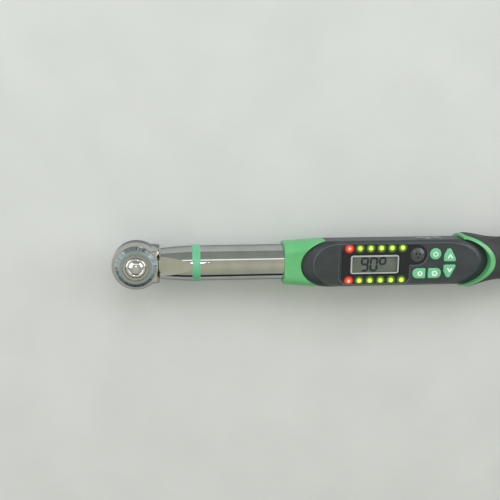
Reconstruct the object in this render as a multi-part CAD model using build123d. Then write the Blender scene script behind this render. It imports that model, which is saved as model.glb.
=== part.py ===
from build123d import *
import math
import os

# Digital torque and angle wrench with a round ratchet head, half-inch square drive.
# Frame: origin on the drive axis at the plane where a socket seats, +X along the
# handle, +Z out of the display, so the square drive points down. Millimetres.

# Clearances
RUN = 0.05
SEAT = 0.1
JOINT_GAP = 0.25

# Drive and ratchet head
DRIVE_SQUARE = 12.7
DRIVE_LENGTH = 16.0
DRIVE_TIP_CHAMFER = 1.2
AXIS_HEIGHT = 13.5
HEAD_RADIUS = 20.8
HEAD_BASE_RADIUS = 17.6
HEAD_BOTTOM = 1.5
HEAD_TOP = 25.0
HEAD_WALL_FROM = 11.0
HEAD_CHAMFER = 2.1
HEAD_CHAMFER_DROP = 3.2
SHOULDER_X = 19.8
SHOULDER_HALF = 15.0
SHOULDER_ROOT_X = 9.5
SHOULDER_ROUND = 17.3
TANG_RADIUS = 10.4
TANG_END = 46.0

# Ratchet works
FLOOR_TOP = 4.5
GEAR_TOP = 16.4
TEETH = 36
GEAR_TIP_RADIUS = 11.0
GEAR_ROOT_RADIUS = 10.1
JOURNAL_RADIUS = 10.0
BOSS_RADIUS = 9.9
BOSS_TOP = 28.4
PAWL_PIN_X = 13.7
PAWL_PIN_RADIUS = 1.2
PAWL_BACK_RADIUS = 15.6
PAWL_HALF_WIDTH = 9.2
PAWL_FORK_HALF = 4.0
PAWL_HUB_TOP = 12.0
PAWL_TOP = 16.3
PAWL_ROCK = 8.0
PLATE_RADIUS = 16.7
PLATE_THICKNESS = 2.5
RING_THICKNESS = 1.0
DIAL_TURN = 12.0
PEG_ORBIT = 14.9
PEG_RADIUS = 0.9
DETENT_ORBIT = 13.4
DETENT_BALL_RADIUS = 1.2
DETENT_HOLE_RADIUS = 1.3

# Reversing dial
DIAL_RADIUS = 17.6
DIAL_TOP = 28.5
DIAL_FLAT_RADIUS = 14.6
DIAL_RIM_TOP = 26.5
DIAL_BORE_RADIUS = 10.2
DIAL_RECESS_RADIUS = 11.6
DIAL_SPIGOT_RADIUS = 15.2
DIAL_GROOVES = 90
DIAL_GROOVE_RADIUS = 0.46
DIAL_GROOVE_LIFT = 0.12

# Quick release
BUTTON_RADIUS = 8.85
BUTTON_SKIRT_BOTTOM = 25.2
BUTTON_SKIRT_TOP = 27.6
BUTTON_TOP = 31.0
BUTTON_STEP_RADIUS = 6.0
BUTTON_WELL_FLOOR = 22.5
STEM_RADIUS = 1.95
STEM_WAIST_RADIUS = 1.0
RELEASE_TRAVEL = 2.4
SPRING_POCKET_RADIUS = 5.0
SPRING_POCKET_FLOOR = 14.5
BALL_RADIUS = 2.6
BALL_HEIGHT = -7.5
BALL_STAND_OUT = 0.85

# Neck, ring and tube
NECK_START = 20.6
NECK_END = 47.9
NECK_FRONT_RADIUS = 13.4
TUBE_RADIUS = 15.4
TUBE_BORE = 12.4
NECK_SPIGOT = 14.0
NECK_FLAT_START = 10.4
NECK_FLAT_END_X = 47.0
RING_WIDTH = 6.9
RING_RADIUS = 16.15
TUBE_END = 139.5
CROSS_PIN_X = 31.0
CROSS_PIN_RADIUS = 2.5
CROSS_PIN_DEPTH = 8.0
TUBE_PIN_X = 132.0
TUBE_PIN_RADIUS = 2.0
BEAM_RADIUS = 8.0
BEAM_END = 100.0
BEAM_STUB_RADIUS = 5.0
BEAM_STUB = 9.0
BEAM_FLAT_HALF = 5.5
GAUGE_LENGTH = 12.0

# Handle tube and battery
HANDLE_NECK_RADIUS = 9.0
HANDLE_GRIP_RADIUS = 12.5
HANDLE_GRIP_START = 311.0
WIRE_BORE = 6.0
BATTERY_BORE = 7.5
BATTERY_WEB_X = 278.0
BATTERY_WEB = 4.0
CELL_RADIUS = 7.1
CELL_LENGTH = 50.2
CELL_COUNT = 2
CELL_STAND_OUT = 0.6
CONTACT_SPRING_LENGTH = 4.0
CAP_PLUG_RADIUS = 9.95
CAP_PLUG_LENGTH = 7.5
CAP_RADIUS = 17.6
CAP_LENGTH = 7.5
CAP_BULGE = 1.6
SEAL_THICKNESS = 1.2

# Housing
HOUSING_HALF = 20.4
FACE_HALF = 18.3
FACE_HEIGHT = 16.8
FACE_RIM = 0.7
FACE_EDGE = 0.35
SHOULDER_HEIGHT = 13.0
WALL = 2.4
FACE_THICKNESS = 2.0
NOSE_ROOT_X = 168.0
NOSE_LENGTH = 26.6
RIDGE_NOSE_ROOT_X = 174.3
RIDGE_NOSE_LENGTH = 22.0
TAIL_ROOT_X = 270.0
TAIL_CENTRE_X = 275.0
TAIL_LENGTH = 35.0
TAIL_HALF = 22.4
RIDGE_TAIL_LENGTH = 31.0
LOWER_END = 283.3
LOWER_SPIGOT = 6.0
LOWER_SPIGOT_RADIUS = 18.0
CAVITY_START = 180.0
CAVITY_END = 285.0
SCREW_FRONT_X = 177.1
SCREW_REAR_X = 280.0
SCREW_Y = 13.5
SCREW_RADIUS = 1.25
SCREW_HEAD_RADIUS = 2.4
SCREW_BOSS_RADIUS = 3.1
SADDLE_SPACING = 40.0
SADDLE_WIDTH = 3.0
COLLAR_START = 127.3
COLLAR_END = 163.5
COLLAR_FRONT_STEP = 2.0
COLLAR_MIDDLE_STEP = 0.8
COLLAR_TOP = 17.2
COLLAR_FRONT_CORNER = 9.5
COLLAR_END_CORNER = 5.5

# Display
BEZEL_LEFT = 177.5
BEZEL_RIGHT = 237.0
BEZEL_HALF = 16.9
BEZEL_DEPTH = 1.2
BEZEL_PROUD = 0.4
BEZEL_LEDGE = 1.5
RECESS_LEFT = 175.0
RECESS_MARGIN = 0.7
RECESS_DEPTH = 0.8
RECESS_CORNER = 5.0
LCD_LEFT = 185.0
LCD_LENGTH = 43.0
LCD_HALF = 8.3
LCD_Y = -0.3
LCD_CORNER = 2.2
LCD_FRAME_WIDTH = 1.3
LCD_PROUD = 0.5
LCD_SHADOW_GAP = 0.8
LED_FIRST_X = 183.5
LED_PITCH = 9.45
LED_COUNT = 6
LED_ROW_Y = 14.45
LED_RADIUS = 1.9
BUZZER_X = 244.3
BUZZER_Y = 7.9
BUZZER_RADIUS = 6.3
BUZZER_MARGIN = 2.3
BUZZER_HOLE_RADIUS = 0.8
BUZZER_HOLE_ORBIT = 1.9
BOARD_TOP = 5.0
BOARD_THICKNESS = 1.6
BOARD_START = 181.5
BOARD_END = 281.0
BOARD_HALF = 15.5
RAIL = 1.4

# Keys
KEY_PROUD = 1.3
KEY_FLANGE = 0.8
KEY_TRAVEL = 1.0
SWITCH_HEIGHT = 0.6
SWITCH_RADIUS = 2.5
ROUND_KEY_X = 260.4
ROUND_KEY_Y = 8.4
ROUND_KEY_RADIUS = 5.2
ARROW_KEY_LEFT = 268.2
ARROW_KEY_RIGHT = 279.6
ARROW_KEY_NEAR = 1.4
ARROW_KEY_FAR = 13.1
ARROW_KEY_CORNER = 1.3
KEY_EDGE = 1.1
LOWER_KEY_HALF = 4.65
LOWER_KEY_Y = -8.9
CLEAR_KEY_LEFT = 240.4
CLEAR_KEY_RIGHT = 252.2
SET_KEY_LEFT = 254.3
SET_KEY_RIGHT = 266.3

# Data port
PORT_X = 257.0
PORT_COVER_LENGTH = 24.0
PORT_COVER_HEIGHT = 10.0
PORT_COVER_DEPTH = 1.3
PORT_PAD_LENGTH = 9.0
PORT_PAD_HEIGHT = 5.6
PORT_PAD_PROUD = 0.9
PORT_LENGTH = 9.0
PORT_HEIGHT = 3.2
PORT_DEPTH = 7.0

# Grip
BAND_WIDTH = 4.6
BAND_HALF = 25.0
BAND_LOWER_END = 289.0
GRIP_START = 286.5
GRIP_FLAT = 23.0
GRIP_START_HALF = 22.8
FLARE_X = 294.0
FLARE_HALF = 23.5
WAIST_X = 307.0
WAIST_HALF = 21.3
PALM_X = 330.0
PALM_HALF = 19.2
HEEL_X = 372.0
HEEL_HALF = 18.3
GRIP_END_HALF = 19.0
GRIP_SHOULDER = 5.0
RIB_FIRST_X = 324.0
RIB_PITCH = 4.0
RIB_COUNT = 13
RIB_WIDTH = 1.2
RIB_DEPTH = 0.6

# Values that follow from the ones above
FACE_Z = AXIS_HEIGHT + FACE_HEIGHT
SHOULDER_Z = AXIS_HEIGHT + SHOULDER_HEIGHT
FACE_UNDER = FACE_Z - FACE_THICKNESS
BOARD_Z = FACE_Z - BOARD_TOP
PLATE_BOTTOM = GEAR_TOP + SEAT
PLATE_TOP = PLATE_BOTTOM + PLATE_THICKNESS
SPIGOT_BOTTOM = PLATE_TOP + 0.2
TUBE_START = NECK_END + RING_WIDTH
NOSE_TIP = NOSE_ROOT_X - NOSE_LENGTH
NOSE_REACH = RIDGE_NOSE_ROOT_X - NOSE_TIP
TAIL_TIP = TAIL_CENTRE_X + TAIL_LENGTH
BATTERY_START = BATTERY_WEB_X + BATTERY_WEB
CELL_START = BATTERY_START + CONTACT_SPRING_LENGTH
CELLS_END = CELL_START + CELL_COUNT * (CELL_LENGTH + SEAT)
HANDLE_END = CELLS_END - CELL_STAND_OUT
CAP_START = HANDLE_END + SEAL_THICKNESS + 2 * SEAT
PAWL_ENGAGED = math.radians(PAWL_ROCK)
LCD_CENTRE_X = LCD_LEFT + LCD_LENGTH / 2
PORT_Z = BOARD_Z - BOARD_THICKNESS - PORT_HEIGHT / 2
COVER_Z = AXIS_HEIGHT + SHOULDER_HEIGHT / 2


def post(radius, low, high, x=0.0, y=0.0):
    """Upright cylinder between two heights."""
    return Pos(x, y, (low + high) / 2) * Cylinder(radius, high - low)


def bar(radius, start, end):
    """Round bar along the wrench's own axis."""
    turned = Rot(0, 90, 0) * Cylinder(radius, end - start)
    return Pos((start + end) / 2, 0, AXIS_HEIGHT) * turned


def cross_bar(radius, length, x):
    """Round pin across the wrench, along Y."""
    return Pos(x, 0, AXIS_HEIGHT) * Rot(90, 0, 0) * Cylinder(radius, length)


def block(x0, x1, y0, y1, z0, z1):
    centre = Pos((x0 + x1) / 2, (y0 + y1) / 2, (z0 + z1) / 2)
    return centre * Box(x1 - x0, y1 - y0, z1 - z0)


def prism(shape, low, high):
    """Plan shape drawn in X and Y, extruded between two heights."""
    return Pos(0, 0, low) * extrude(shape, high - low)


def turned(points):
    """Solid of revolution about the drive axis from radius and height points."""
    outline = make_face(Plane.XZ * Polyline(*points, close=True))
    return revolve(outline, Axis.Z)


def turned_x(points):
    """Solid of revolution about the wrench's axis from station and radius points."""
    outline = make_face(Plane.XZ * Polyline(*points, close=True))
    return Pos(0, 0, AXIS_HEIGHT) * revolve(outline, Axis.X)


def section(x, half, top, corner):
    """Handle cross-section: round below, flat-topped with rounded shoulders above."""
    swing = corner * math.sqrt(0.5)
    low = top - corner
    inner = half - corner
    edges = [
        ThreePointArc((-half, 0), (0, -half), (half, 0)),
        Line((half, 0), (half, low)),
        ThreePointArc((half, low), (inner + swing, low + swing), (inner, top)),
        Line((inner, top), (-inner, top)),
        ThreePointArc((-inner, top), (-inner - swing, low + swing), (-half, low)),
        Line((-half, low), (-half, 0)),
    ]
    at = Plane(origin=(x, 0, AXIS_HEIGHT), x_dir=(0, 1, 0), z_dir=(1, 0, 0))
    return at * make_face(edges)


def nose_outline(root, length, half):
    """Half ellipse that points to the head, closed by its chord."""
    arc = EllipticalCenterArc((root, 0), length, half, 90, arc_size=180)
    return make_face([arc, Line(arc @ 1, arc @ 0)])


def rectangle_between(x0, x1, half):
    return Pos((x0 + x1) / 2, 0) * Rectangle(x1 - x0, 2 * half)


def tail_outline(root, centre, length, half, limit):
    """Rounded tail that points away from the head, as wide as limit at its root."""
    reach = math.degrees(math.asin(min(1.0, limit / half)))
    arc = EllipticalCenterArc((centre, 0), length, half, -reach, arc_size=2 * reach)
    start = Vector(root, -limit)
    end = Vector(root, limit)
    return make_face([Line(start, arc @ 0), arc, Line(arc @ 1, end), Line(end, start)])


def gear_outline(grow=0.0):
    """Symmetric ratchet teeth, one tooth space on the +X axis."""
    pitch = 2 * math.pi / TEETH
    tip = GEAR_TIP_RADIUS + grow
    root = GEAR_ROOT_RADIUS + grow
    points = []
    for tooth in range(TEETH):
        middle = (tooth + 0.5) * pitch
        for radius, share in ((root, -0.42), (tip, -0.1), (tip, 0.1), (root, 0.42)):
            angle = middle + share * pitch + math.copysign(grow / radius, share)
            points.append((radius * math.cos(angle), radius * math.sin(angle)))
    return make_face(Polyline(*points, close=True))


def coil(radius, wire, length, turns):
    """Compression spring along +Z from the origin, with its wire inside the length."""
    path = Helix((length - wire) / turns, length - wire, radius)
    profile = Plane(origin=path @ 0, z_dir=path % 0) * RegularPolygon(wire / 2, 6)
    return Pos(0, 0, wire / 2) * sweep(profile, path=path)


parts = {}


# Ratchet head: forged body, bored for the works, with a tang that carries the load
def make_head():
    rim = HEAD_RADIUS - HEAD_CHAMFER
    forging = turned([
        (0, HEAD_BOTTOM),
        (HEAD_BASE_RADIUS, HEAD_BOTTOM),
        (HEAD_RADIUS, HEAD_WALL_FROM),
        (HEAD_RADIUS, HEAD_TOP - HEAD_CHAMFER_DROP),
        (rim, HEAD_TOP),
        (0, HEAD_TOP),
    ])
    root_half = math.sqrt(HEAD_RADIUS ** 2 - SHOULDER_ROOT_X ** 2)
    cheek = make_face(Polyline(
        (0, -HEAD_RADIUS + 2),
        (SHOULDER_ROOT_X, -root_half),
        (SHOULDER_X, -SHOULDER_HALF),
        (SHOULDER_X, SHOULDER_HALF),
        (SHOULDER_ROOT_X, root_half),
        (0, HEAD_RADIUS - 2),
        close=True,
    ))
    slope = math.degrees(math.atan2(HEAD_CHAMFER, HEAD_CHAMFER_DROP))
    edge = HEAD_TOP - HEAD_CHAMFER_DROP
    shoulder = prism(cheek, HEAD_BOTTOM + 1, edge)
    shoulder += Pos(0, 0, edge) * extrude(cheek, HEAD_CHAMFER_DROP, taper=slope)
    shoulder &= bar(SHOULDER_ROUND, 0, SHOULDER_X)
    body = forging + shoulder + bar(TANG_RADIUS, SHOULDER_X - 3, TANG_END)
    body -= post(JOURNAL_RADIUS + RUN, HEAD_BOTTOM - 1, FLOOR_TOP + 1)
    body -= post(GEAR_TIP_RADIUS + 0.4, FLOOR_TOP, PLATE_BOTTOM + 1)
    pocket = Circle(PAWL_BACK_RADIUS + 1.5) & Pos(12, 0) * Rectangle(14, 2 * PAWL_HALF_WIDTH + 1.6)
    body -= prism(pocket, FLOOR_TOP, PLATE_BOTTOM)
    body -= post(PLATE_RADIUS + RUN, PLATE_BOTTOM, HEAD_TOP + 1)
    body -= post(PLATE_RADIUS + 1.0, PLATE_TOP, PLATE_TOP + RING_THICKNESS + SEAT)
    body -= post(PAWL_PIN_RADIUS + 0.01, FLOOR_TOP - 2, FLOOR_TOP + 1, PAWL_PIN_X)
    body -= post(DETENT_HOLE_RADIUS, 8.0, PLATE_BOTTOM + 1, -DETENT_ORBIT)
    body -= bar(BEAM_STUB_RADIUS + RUN, TANG_END - BEAM_STUB - SEAT, TANG_END + 1)
    return body - make_cross_pin(RUN)


def make_cross_pin(grow=0.0):
    """Pin driven in from the underside of the handle's near flank, blind on the far one."""
    length = NECK_FRONT_RADIUS + CROSS_PIN_DEPTH + 2 * grow
    centre = (CROSS_PIN_DEPTH - NECK_FRONT_RADIUS) / 2
    return Pos(0, centre, 0) * cross_bar(CROSS_PIN_RADIUS + grow, length, CROSS_PIN_X)


parts["ratchet_head"] = make_head()


# Anvil: square drive, journals, ratchet gear and release-button well in one piece
def make_anvil():
    square = Pos(0, 0, -DRIVE_LENGTH / 2) * Box(DRIVE_SQUARE, DRIVE_SQUARE, DRIVE_LENGTH)
    square = chamfer(square.edges().group_by(Axis.Z)[0], DRIVE_TIP_CHAMFER)
    square = fillet(square.edges().filter_by(Axis.Z), 0.8)
    anvil = square + post(JOURNAL_RADIUS, 0, FLOOR_TOP + SEAT)
    anvil += prism(gear_outline(), FLOOR_TOP + SEAT, GEAR_TOP)
    anvil += post(BOSS_RADIUS, GEAR_TOP, BOSS_TOP)
    anvil -= post(BUTTON_RADIUS + SEAT, BUTTON_WELL_FLOOR, BOSS_TOP + 1)
    anvil -= post(SPRING_POCKET_RADIUS, SPRING_POCKET_FLOOR, BUTTON_WELL_FLOOR + 1)
    anvil -= post(STEM_RADIUS + RUN, BALL_HEIGHT - 4.9, SPRING_POCKET_FLOOR + 1)
    hole = Rot(90, 0, 0) * Cylinder(BALL_RADIUS + RUN, DRIVE_SQUARE)
    anvil -= Pos(0, -DRIVE_SQUARE / 2, BALL_HEIGHT) * hole
    groove = post(BOSS_RADIUS + 1, DIAL_TOP - 1.45, DIAL_TOP - 0.55)
    anvil -= groove - post(BOSS_RADIUS - 0.5, 0, BOSS_TOP)
    return anvil


parts["anvil"] = make_anvil()


# Locking ball in the square's near face, held out by the button's stem
BALL_Y = -(DRIVE_SQUARE / 2 + BALL_STAND_OUT - BALL_RADIUS)
parts["locking_ball"] = Pos(0, BALL_Y, BALL_HEIGHT) * Sphere(BALL_RADIUS)


# Release button: stepped dome on a long stem, waisted where the ball drops in
def make_release_button():
    step_z = BUTTON_SKIRT_TOP + 1.4
    outline = [
        Line((0, BUTTON_SKIRT_BOTTOM), (BUTTON_RADIUS, BUTTON_SKIRT_BOTTOM)),
        Line((BUTTON_RADIUS, BUTTON_SKIRT_BOTTOM), (BUTTON_RADIUS, BUTTON_SKIRT_TOP)),
        TangentArc((BUTTON_RADIUS, BUTTON_SKIRT_TOP), (BUTTON_STEP_RADIUS, step_z), tangent=(0, 1)),
        TangentArc((0, BUTTON_TOP), (BUTTON_STEP_RADIUS, step_z), tangent=(1, 0)),
        Line((0, BUTTON_TOP), (0, BUTTON_SKIRT_BOTTOM)),
    ]
    button = revolve(Plane.XZ * make_face(outline), Axis.Z)
    button += post(STEM_RADIUS, BALL_HEIGHT - 2.2, BUTTON_SKIRT_BOTTOM)
    waist = post(STEM_RADIUS + 1, BALL_HEIGHT - 0.7, BALL_HEIGHT + 4.5)
    waist -= post(STEM_WAIST_RADIUS, BALL_HEIGHT - 1, BALL_HEIGHT + 5)
    return button - waist


parts["release_button"] = make_release_button()
SPRING_LENGTH = BUTTON_SKIRT_BOTTOM - SPRING_POCKET_FLOOR - 2 * SEAT
parts["release_spring"] = Pos(0, 0, SPRING_POCKET_FLOOR + SEAT) * coil(3.6, 0.8, SPRING_LENGTH, 5)


# Pawl: two-winged rocker whose teeth are cut by the gear itself in both positions
def make_pawl():
    pivot = Pos(PAWL_PIN_X, 0)
    blank = Circle(PAWL_BACK_RADIUS) - Circle(GEAR_ROOT_RADIUS - 0.1)
    blank &= Pos(12.5, 0) * Rectangle(11, 2 * PAWL_HALF_WIDTH)
    blank -= Circle(GEAR_TIP_RADIUS + 0.7) & Pos(11, 0) * Rectangle(8, PAWL_HALF_WIDTH)
    for side in (1, -1):
        tilt = pivot * Rot(0, 0, -side * PAWL_ROCK) * Pos(-PAWL_PIN_X, 0)
        blank -= tilt * gear_outline(RUN)
    upper = blank - Pos(14, 0) * Rectangle(6, 2 * PAWL_FORK_HALF)
    pawl = prism(blank, FLOOR_TOP + SEAT, PAWL_HUB_TOP)
    pawl += prism(upper, PAWL_HUB_TOP, PAWL_TOP)
    pawl -= post(PAWL_PIN_RADIUS + RUN, 0, PLATE_TOP, PAWL_PIN_X)
    return pivot * Rot(0, 0, PAWL_ROCK) * Pos(-PAWL_PIN_X, 0) * pawl


parts["pawl"] = make_pawl()
parts["pawl_pin"] = post(PAWL_PIN_RADIUS, FLOOR_TOP - 2, PAWL_HUB_TOP, PAWL_PIN_X)


# Cover plate over the gear, with an arc slot for the dial's peg, and its snap ring
def make_cover_plate():
    plate = post(PLATE_RADIUS, PLATE_BOTTOM, PLATE_TOP) - post(BOSS_RADIUS + RUN, 0, PLATE_TOP + 1)
    arc = CenterArc((0, 0), PEG_ORBIT, -DIAL_TURN - 2, 2 * DIAL_TURN + 4)
    slot = SlotArc(arc, 2 * PEG_RADIUS + 0.8)
    plate -= prism(slot, PLATE_BOTTOM - 1, PLATE_TOP + 1)
    return plate - post(DETENT_HOLE_RADIUS, 0, PLATE_TOP + 1, -DETENT_ORBIT)


def make_plate_ring():
    low = PLATE_TOP + SEAT / 2
    high = low + RING_THICKNESS
    ring = post(PLATE_RADIUS + 0.9, low, high) - post(DIAL_SPIGOT_RADIUS + 0.2, low - 1, high + 1)
    return ring - block(8, HEAD_RADIUS, -9, 9, low - 1, high + 1)


parts["gear_cover_plate"] = make_cover_plate()
parts["plate_snap_ring"] = make_plate_ring()


# Reversing dial: knurled rim, peg that throws the pawl, arc groove for the detent ball
def make_dial():
    guide = PLATE_TOP + RING_THICKNESS + 0.4
    under = HEAD_TOP + 0.3
    dial = turned([
        (DIAL_BORE_RADIUS, SPIGOT_BOTTOM),
        (DIAL_SPIGOT_RADIUS, SPIGOT_BOTTOM),
        (DIAL_SPIGOT_RADIUS, guide),
        (PLATE_RADIUS, guide),
        (PLATE_RADIUS, under),
        (DIAL_RADIUS, under),
        (DIAL_RADIUS, DIAL_RIM_TOP),
        (DIAL_FLAT_RADIUS, DIAL_TOP),
        (DIAL_RECESS_RADIUS, DIAL_TOP),
        (DIAL_RECESS_RADIUS, DIAL_TOP - 1.5),
        (DIAL_BORE_RADIUS, DIAL_TOP - 1.5),
    ])
    bevel = DIAL_RADIUS - DIAL_FLAT_RADIUS
    slope = math.atan2(DIAL_TOP - DIAL_RIM_TOP, bevel)
    cutter = Cylinder(DIAL_GROOVE_RADIUS, bevel / math.cos(slope) + 1)
    cutter = Rot(0, 90 + math.degrees(slope), 0) * cutter
    middle = (DIAL_TOP + DIAL_RIM_TOP) / 2
    cutter = Pos(DIAL_RADIUS - bevel / 2, 0, middle + DIAL_GROOVE_LIFT) * cutter
    cutters = [Rot(0, 0, 360 * i / DIAL_GROOVES) * cutter for i in range(DIAL_GROOVES)]
    dial -= cutters
    track = CenterArc((0, 0), DETENT_ORBIT, 180 - DIAL_TURN - 1, 2 * DIAL_TURN + 2)
    groove = prism(SlotArc(track, 2 * DETENT_HOLE_RADIUS), SPIGOT_BOTTOM - 1, SPIGOT_BOTTOM + 0.5)
    dial -= Rot(0, 0, DIAL_TURN) * groove
    dial += post(PEG_RADIUS, PAWL_HUB_TOP + 0.5, SPIGOT_BOTTOM + 0.5, PEG_ORBIT).rotate(Axis.Z, DIAL_TURN)
    return dial


parts["reversing_dial"] = make_dial()
clip = post(BOSS_RADIUS + 1.4, DIAL_TOP - 1.4, DIAL_TOP - 0.6) - post(BOSS_RADIUS - 0.45, 0, BOSS_TOP)
parts["dial_snap_ring"] = clip - block(0, HEAD_RADIUS, -1.5, 1.5, 0, BOSS_TOP)
BALL_TOP = SPIGOT_BOTTOM + 0.45
parts["detent_ball"] = Pos(-DETENT_ORBIT, 0, BALL_TOP - DETENT_BALL_RADIUS) * Sphere(DETENT_BALL_RADIUS)
DETENT_SPRING_LENGTH = BALL_TOP - 2 * DETENT_BALL_RADIUS - 8.0 - SEAT
parts["detent_spring"] = Pos(-DETENT_ORBIT, 0, 8.0 + SEAT / 2) * coil(0.95, 0.4, DETENT_SPRING_LENGTH, 6)


# Neck: tapered sleeve over the tang, ground flat above and below
def make_neck():
    middle = (NECK_START + NECK_END) / 2
    swell = (NECK_FRONT_RADIUS + TUBE_RADIUS) / 2 + 0.25
    spigot_end = NECK_END + NECK_SPIGOT
    outline = [
        Line((NECK_START, 0), (NECK_START, NECK_FRONT_RADIUS)),
        ThreePointArc((NECK_START, NECK_FRONT_RADIUS), (middle, swell), (NECK_END - 1, TUBE_RADIUS)),
        Line((NECK_END - 1, TUBE_RADIUS), (NECK_END, TUBE_RADIUS)),
        Line((NECK_END, TUBE_RADIUS), (NECK_END, TUBE_BORE - RUN)),
        Line((NECK_END, TUBE_BORE - RUN), (spigot_end, TUBE_BORE - RUN)),
        Line((spigot_end, TUBE_BORE - RUN), (spigot_end, 0)),
        Line((spigot_end, 0), (NECK_START, 0)),
    ]
    neck = Pos(0, 0, AXIS_HEIGHT) * revolve(Plane.XZ * make_face(outline), Axis.X)
    rise = TUBE_RADIUS - NECK_FLAT_START
    run = NECK_FLAT_END_X - NECK_START
    ground = make_face(Plane.XZ * Polyline(
        (NECK_START - 1, NECK_FLAT_START - rise / run),
        (NECK_FLAT_END_X, TUBE_RADIUS),
        (NECK_START - 1, TUBE_RADIUS + 4),
        close=True,
    ))
    wedge = extrude(ground, TUBE_RADIUS, both=True)
    for flip in (0, 180):
        neck -= Pos(0, 0, AXIS_HEIGHT) * Rot(flip, 0, 0) * wedge
    neck -= bar(TANG_RADIUS + RUN, NECK_START - 1, TANG_END + SEAT)
    neck -= bar(BEAM_RADIUS + 0.3, TANG_END, spigot_end + 1)
    return neck - make_cross_pin(RUN) - Pos(0, -CROSS_PIN_DEPTH, 0) * make_cross_pin(RUN)


parts["neck_sleeve"] = make_neck()
parts["cross_pin"] = make_cross_pin()
ring = bar(RING_RADIUS, NECK_END, TUBE_START) - bar(TUBE_BORE, NECK_END - 1, TUBE_START + 1)
parts["accent_ring"] = chamfer(ring.edges().sort_by(lambda e: -e.length)[0:2], 0.3)


# Chrome tube, pinned to the handle tube inside the collar
tube = bar(TUBE_RADIUS, TUBE_START, TUBE_END) - bar(TUBE_BORE, TUBE_START - 1, TUBE_END + 1)
parts["chrome_tube"] = tube - cross_bar(TUBE_PIN_RADIUS + RUN, 4 * TUBE_RADIUS, TUBE_PIN_X)
parts["tube_pin"] = cross_bar(TUBE_PIN_RADIUS, 2 * TUBE_RADIUS - 0.8, TUBE_PIN_X)


# Torque beam with two ground flats, each with a bonded strain gauge
def make_beam():
    beam = bar(BEAM_RADIUS, TANG_END + SEAT, BEAM_END)
    beam += bar(BEAM_STUB_RADIUS, TANG_END - BEAM_STUB, TANG_END + 1)
    beam += bar(WIRE_BORE - RUN, BEAM_END - 1, BEAM_END + 2 * BEAM_STUB)
    middle = (TANG_END + BEAM_END) / 2
    for side in (1, -1):
        cut = block(-GAUGE_LENGTH, GAUGE_LENGTH, -BEAM_RADIUS, BEAM_RADIUS, BEAM_FLAT_HALF, BEAM_RADIUS)
        beam -= Pos(middle, 0, AXIS_HEIGHT) * Rot(0 if side > 0 else 180, 0, 0) * cut
    return beam


def make_gauges():
    middle = (TANG_END + BEAM_END) / 2
    half = GAUGE_LENGTH / 2
    pad = block(-half, half, -3, 3, BEAM_FLAT_HALF, BEAM_FLAT_HALF + 0.4)
    above = Pos(middle, 0, AXIS_HEIGHT) * pad
    return Part() + [above, Pos(middle, 0, AXIS_HEIGHT) * Rot(180, 0, 0) * pad]


parts["torque_beam"] = make_beam()
parts["strain_gauges"] = make_gauges()


# Handle tube: from inside the chrome tube, under the display, to the battery cap
def make_handle_tube():
    tube = turned_x([
        (BEAM_END, WIRE_BORE),
        (BEAM_END, TUBE_BORE - RUN),
        (TUBE_END, TUBE_BORE - RUN),
        (TUBE_END, HANDLE_NECK_RADIUS),
        (HANDLE_GRIP_START, HANDLE_NECK_RADIUS),
        (HANDLE_GRIP_START, HANDLE_GRIP_RADIUS),
        (HANDLE_END, HANDLE_GRIP_RADIUS),
        (HANDLE_END, CAP_PLUG_RADIUS + RUN),
        (HANDLE_END - CAP_PLUG_LENGTH, CAP_PLUG_RADIUS + RUN),
        (HANDLE_END - CAP_PLUG_LENGTH, BATTERY_BORE),
        (BATTERY_START, BATTERY_BORE),
        (BATTERY_START, 1.5),
        (BATTERY_WEB_X, 1.5),
        (BATTERY_WEB_X, WIRE_BORE),
    ])
    return tube - cross_bar(TUBE_PIN_RADIUS + RUN, 4 * TUBE_RADIUS, TUBE_PIN_X)


parts["handle_tube"] = make_handle_tube()


# Battery: two cells end to end, front contact spring, cap with its seal
def make_cells():
    cells = []
    for i in range(CELL_COUNT):
        start = CELL_START + i * (CELL_LENGTH + SEAT)
        can = bar(CELL_RADIUS, start, start + CELL_LENGTH - 1.5)
        cells.append(can + bar(2.6, start, start + CELL_LENGTH))
    return Part() + cells


parts["battery_cells"] = make_cells()
contact = Rot(0, 90, 0) * coil(4.0, 0.7, CONTACT_SPRING_LENGTH - 2 * RUN, 3)
parts["contact_spring"] = Pos(BATTERY_START + RUN, 0, AXIS_HEIGHT) * contact


def make_battery_cap():
    end = CAP_START + CAP_LENGTH
    profile = [
        Line((CAP_START, 0), (CAP_START, CAP_RADIUS)),
        Line((CAP_START, CAP_RADIUS), (end - 2, CAP_RADIUS)),
        ThreePointArc((end - 2, CAP_RADIUS), (end - 0.7, CAP_RADIUS - 0.8), (end, CAP_RADIUS - 3)),
        ThreePointArc((end, CAP_RADIUS - 3), (end + CAP_BULGE * 0.75, CAP_RADIUS / 2), (end + CAP_BULGE, 0)),
        Line((end + CAP_BULGE, 0), (CAP_START, 0)),
    ]
    cap = Pos(0, 0, AXIS_HEIGHT) * revolve(Plane.XZ * make_face(profile), Axis.X)
    plug = bar(CAP_PLUG_RADIUS, HANDLE_END - CAP_PLUG_LENGTH + SEAT, CAP_START + 1)
    cap += plug
    cap -= bar(BATTERY_BORE, HANDLE_END - CAP_PLUG_LENGTH - 1, CELLS_END + SEAT)
    slot = block(end - 1.2, end + 3, -CAP_RADIUS / 2, CAP_RADIUS / 2, -1.1, 1.1)
    cap -= Pos(0, 0, AXIS_HEIGHT) * slot
    flute = Pos(end - 3, 0, AXIS_HEIGHT) * Rot(0, 90, 0) * Pos(CAP_RADIUS + 0.7, 0, 0) * Cylinder(1.2, 20)
    for i in range(12):
        cap -= flute.rotate(Axis((0, 0, AXIS_HEIGHT), (1, 0, 0)), 360 * i / 12 + 15)
    return cap


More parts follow.
